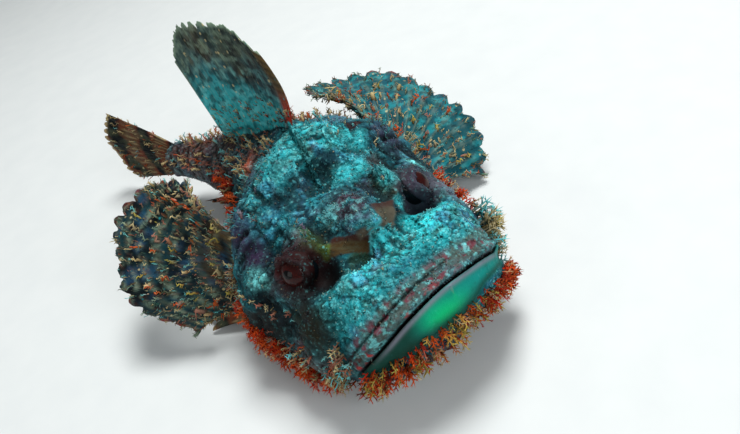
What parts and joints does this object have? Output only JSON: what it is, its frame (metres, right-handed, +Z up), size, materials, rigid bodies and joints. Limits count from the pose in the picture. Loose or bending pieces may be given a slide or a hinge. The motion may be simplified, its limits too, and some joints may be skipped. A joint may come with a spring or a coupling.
{
  "type": "false stonefish",
  "caption": "Humpbacked, tasselled reef fish resting on its belly, wide mouth turned up, with spread pectoral fins and a raised soft dorsal fin.",
  "frame": {"origin": "on the floor, at the middle of the flat under the torso's belly", "axes": "+Z up; the fish faces -Y, its tail points to +Y, and its right side is at -X"},
  "size_m": [0.1679, 0.2515, 0.102],
  "materials": {
    "skin": "wet mottled skin, teal grey with purple, brown and orange-red flaps",
    "fin": "thin speckled fin skin over bony rays",
    "eye": "wet glossy eye"
  },
  "bodies": {
    "root": {"head": "skin", "lower_jaw": "skin", "gill_cover_left": "skin", "gill_cover_right": "skin", "torso": "skin", "tail": "skin", "spinous_dorsal_fin": "fin", "soft_dorsal_fin": "fin", "caudal_fin": "fin", "anal_fin": "fin", "pectoral_fin_left": "fin", "pectoral_fin_right": "fin", "pelvic_fin_left": "fin", "pelvic_fin_right": "fin", "eye_left": "eye", "eye_right": "eye"}
  },
  "joints": []
}
